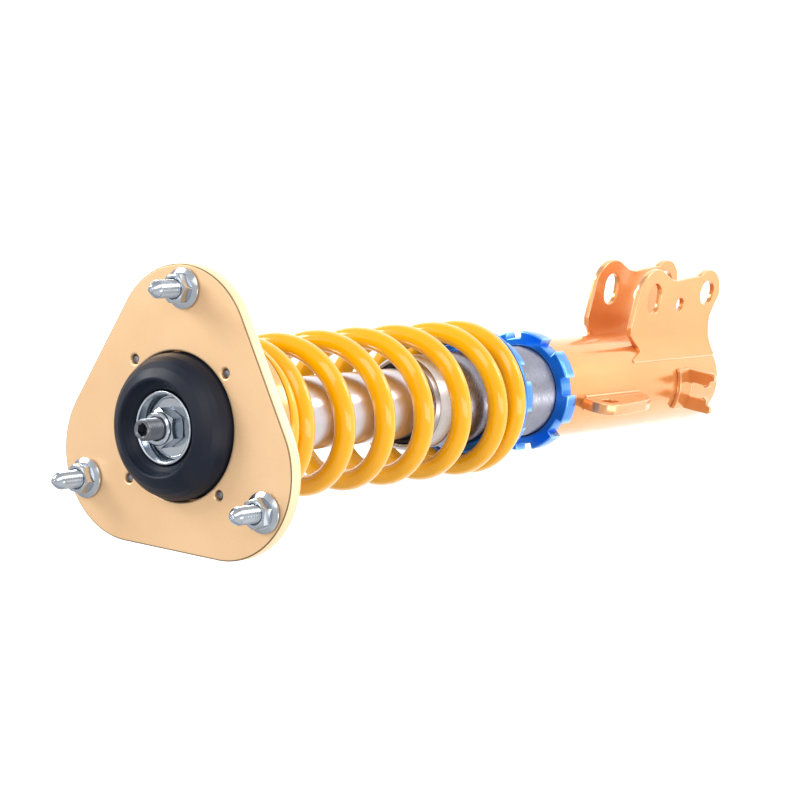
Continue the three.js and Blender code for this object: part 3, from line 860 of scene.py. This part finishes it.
body_thread = threaded(
    BODY_LOW + 1, body_end - 1.2, BODY_R, BODY_ROOT_R, 1.5,
    before=[(BODY_BORE_R, BODY_LOW), (BODY_R - 0.7, BODY_LOW), (BODY_ROOT_R, BODY_LOW + 1)],
    after=[
        (BODY_ROOT_R, body_end - 1.0), (BODY_R - 0.3, body_end - 0.4), (BODY_R - 0.7, body_end),
        (BODY_BORE_R, body_end),
    ],
    sides=96, closed=True,
)
piece("housing_thread", body_thread, "strut_body", "thread_grey", ["threaded_housing"], math.radians(60))

# Lower tube, end plug and the welded parts.
sleeve_top = LOWER_RING_LOW - GAP
sleeve = [
    (SLEEVE_BORE_R, SLEEVE_LOW), (SLEEVE_R, SLEEVE_LOW),
    (SLEEVE_R, sleeve_top), (SLEEVE_BORE_R, sleeve_top),
]
piece("sleeve_gold", turned(rounded(sleeve, 0.8), 128), "lower_bracket", "gloss_gold", ["lower_tube"])
plug = [(0, -502), (24, -502), (27.9, -501), (27.9, -496), (0, -496)]
piece("plug_gold", turned(rounded(plug, 0.8, closed=False)), "lower_bracket", "gloss_gold", ["end_plug"])

# Knuckle ears: pressed sheet, bent inwards at the foot to follow the tube, and welded along it.
side = [(15, -502.5), (15, -404), (20.4, -404), (25, -417.5), (34.5, -407), (39.8, -405.6)]
side += arc(*UPPER_BOLT, 19.3, 70, -32, 28)
side += [(70.6, -447), (69.4, -455.5), (70.6, -465)]
side += arc(*LOWER_BOLT, 15.5, 42, -96, 34)
side += [(51, -503.4), (44.7, -500.4), (38, -500.6), (30, -502.5)]
side = rounded(side, 2.2, steps=4)
bolt_slot = arc(UPPER_BOLT[0] + 2.5, UPPER_BOLT[1], 7.75, -90, 90, 18)
bolt_slot += arc(UPPER_BOLT[0] - 2.5, UPPER_BOLT[1], 7.75, 90, 270, 18)
ear_holes = [bolt_slot, circle(*LOWER_BOLT, 8.25, 40), circle(*SENSOR_HOLE, 4.4, 28)]
ear_flat = slab(side, 0, EAR_T, 0.55, ear_holes)
ear_cut = cut_across(ear_flat, [15.5 + 0.9 * k for k in range(24)])
foot_end_x, foot_end_y = polar(FOOT_R + 0.75, 53)


def foot_outer(x):
    """How far out the sheet's outer face stands where the foot bends round to the tube."""
    bend_start = 34
    bend_corner = 28
    if x >= bend_start:
        return EAR_OUT
    low = 0.0
    high = 1.0
    for _ in range(24):
        t = (low + high) / 2
        spot = bend_start * (1 - t) ** 2 + bend_corner * 2 * t * (1 - t) + foot_end_x * t * t
        if spot > x:
            low = t
        else:
            high = t
    return EAR_OUT * (1 - t) ** 2 + EAR_OUT * 2 * t * (1 - t) + foot_end_y * t * t


def foot(x, y, z):
    """Stands the flat sheet up beside the tube, with its foot bent round it."""
    reach = max(x, foot_end_x)
    inner = EAR_IN
    if reach < FOOT_R:
        inner = max(EAR_IN, math.sqrt(FOOT_R ** 2 - reach ** 2))
    share = z / EAR_T
    return reach, inner + share * (foot_outer(reach) - inner), y


ear = mapped(ear_cut, foot)
foot_line = [(*polar(SLEEVE_R + 0.25, 53.2), z) for z in range(-501, -403, 4)]
ear_far = joined(ear, bead(foot_line, 0.6))
inner_line = [(*polar(SLEEVE_R + 0.1, 27.6), z) for z in range(-500, -417, 4)]
ear_far = joined(ear_far, bead(inner_line, 0.8))
ear_near = mapped(ear_far, lambda x, y, z: (x, -y, z))
piece("ear_far_gold", ear_far, "lower_bracket", "gloss_gold", ["knuckle_ear_far"])
piece("ear_near_gold", ear_near, "lower_bracket", "gloss_gold", ["knuckle_ear_near"])

# Thick tab with an oblong hole for the anti-roll bar's link.
tab = [(-30.9, -343), (-31.5, -343)]
tab += arc(-42.4, -351.6, 11.8, 62, 176, 22)
tab += [(-53.6, -360), (-50.8, -386), (-48, -395), (-42, -402), (-34, -406.3), (-30.9, -406.5)]
tab_slot = arc(-43.2, -352, 4.3, 0, 180, 16) + arc(-43.2, -357.5, 4.3, 180, 360, 16)
tab_slab = moved(sideways(slab(rounded(tab, 3, steps=6), 0, TAB_T, 0.7, [tab_slot])), 1 - TAB_T)
for x in (-6.4, 1.4):
    y = -math.sqrt((SLEEVE_R + 0.2) ** 2 - x ** 2)
    tab_slab = joined(tab_slab, bead([(x, y, z) for z in range(-405, -343, 4)], 1.15))
piece("tab_gold", tab_slab, "lower_bracket", "gloss_gold", ["link_tab"])

# Hose bracket: a shelf with a C-shaped slot between two lugs, bent up against the tube.
lug = [
    (13.5, -30.4), (13.5, -49.6), (12.3, -51.6), (9.1, -51.6),
    (7.7, -48.4), (4.6, -48), (2.9, -45), (4.6, -43.4),
]
hose_x = -0.3
near_lug = [(hose_x + x, y) for x, y in lug]
far_lug = [(hose_x - x, y) for x, y in reversed(lug)]
hose = near_lug + arc(hose_x, -37.4, 4.9, 0, 180, 20) + far_lug
hose = rounded(hose, 0.7, steps=3)
hose_plate = slab(hose, HOSE_Z - HOSE_T, HOSE_Z, 0.5)


def clear_of_tube(x, y, z):
    """Corners that would lie inside the tube are brought out to its surface."""
    far = math.hypot(x, y)
    if far < FOOT_R:
        return x * FOOT_R / far, y * FOOT_R / far, z
    return x, y, z


bends = [-13 + 1.5 * k for k in range(18)]
hose_plate = mapped(cut_across(hose_plate, bends), clear_of_tube)
leg_outline = rounded([(-13.8, HOSE_Z - 2.4), (13.2, HOSE_Z - 2.4), (13.2, -452), (-13.8, -452)], 1.6)
leg = cut_across(slab(leg_outline, 0, 2.8, 0.5), bends)
leg = mapped(leg, lambda x, y, z: (x, -math.sqrt(max((FOOT_R + z) ** 2 - x * x, 1)), y))
piece("hose_gold", joined(hose_plate, leg), "lower_bracket", "gloss_gold", ["hose_bracket"])

# CAD nodes that stay: the sealed inner pieces, each with its own finish.
slot_of = {row["node"]: row["material_slot"] for row in frame["record"]["subparts"]}
for name, node in frame["nodes"].items():
    node.data.materials.clear()
    node.data.materials.append(looks[slot_of[name]])

# ---- stage, light and camera ----
TARGET = Vector((0.0018, 0.0006, -0.1958))
FLOOR_Z = -0.62
CAMERA_PLACE = Vector((0.3029, -0.9599, 1.0905))
CAMERA_UP = Vector((0.9733, 0.2206, -0.0631))
CAMERA_LENS = 124.47

floor_look, _, floor_shader, _ = material(
    "studio_floor", (0.93, 0.93, 0.93), (0.90, 0.90, 0.90), 0.0, 0.7, blotch=3)
bm = bmesh.new()
bmesh.ops.create_grid(bm, x_segments=8, y_segments=8, size=6)
floor_mesh = bpy.data.meshes.new("floor")
bm.to_mesh(floor_mesh)
bm.free()
floor_shader.inputs["Emission Color"].default_value = (1, 1, 1, 1)
floor_shader.inputs["Emission Strength"].default_value = 0.35
floor = bpy.data.objects.new("floor", floor_mesh)
floor.location = (0, 0, FLOOR_Z)
floor_mesh.materials.append(floor_look)
bpy.context.scene.collection.objects.link(floor)

world = bpy.data.worlds.new("studio")
bpy.context.scene.world = world
world.use_nodes = True
sky_tree = world.node_tree
where = sky_tree.nodes.new("ShaderNodeTexCoord").outputs["Generated"]
split = sky_tree.nodes.new("ShaderNodeSeparateXYZ")
sky_tree.links.new(where, split.inputs["Vector"])
sky = sky_tree.nodes.new("ShaderNodeValToRGB")
sky.color_ramp.elements[0].position = 0.45
sky.color_ramp.elements[0].color = (0.70, 0.69, 0.74, 1)
sky.color_ramp.elements[1].position = 0.9
sky.color_ramp.elements[1].color = (1.0, 1.0, 1.0, 1)
lift = sky_tree.nodes.new("ShaderNodeMapRange")
lift.inputs["From Min"].default_value = -1
sky_tree.links.new(split.outputs["Z"], lift.inputs["Value"])
sky_tree.links.new(lift.outputs["Result"], sky.inputs["Fac"])
sky_tree.links.new(sky.outputs["Color"], sky_tree.nodes["Background"].inputs["Color"])
sky_tree.nodes["Background"].inputs["Strength"].default_value = 0.70


def softbox(name, place, size, power):
    """A soft rectangular light that faces the strut."""
    data = bpy.data.lights.new(name, "AREA")
    data.shape = "RECTANGLE"
    data.size, data.size_y = size
    data.energy = power
    lamp = bpy.data.objects.new(name, data)
    lamp.location = place
    lamp.rotation_euler = (TARGET - Vector(place)).to_track_quat("-Z", "Y").to_euler()
    bpy.context.scene.collection.objects.link(lamp)


softbox("key", (0.75, 1.35, 0.75), (0.7, 0.7), 22)
softbox("front", (0.99, -0.66, 0.87), (0.6, 1.6), 9)
softbox("side", (-0.1, -1.5, 0.1), (0.5, 1.5), 8)
softbox("fill", (-1.1, -1.1, 0.5), (2.0, 2.0), 3)
softbox("overhead", (0.0, 0.9, 1.9), (1.4, 0.6), 3)
softbox("low", (0.27, -0.27, -0.61), (0.16, 0.36), 0.9)

camera_data = bpy.data.cameras.new("camera")
camera_data.sensor_width = 36
camera_data.lens = CAMERA_LENS
camera_data.clip_end = 20
camera = bpy.data.objects.new("camera", camera_data)
camera.location = CAMERA_PLACE
back = (CAMERA_PLACE - TARGET).normalized()
right = CAMERA_UP.cross(back).normalized()
up = back.cross(right)
camera.rotation_euler = Matrix((right, up, back)).transposed().to_euler()
bpy.context.scene.collection.objects.link(camera)
bpy.context.scene.camera = camera
bpy.context.scene.view_settings.view_transform = "Standard"
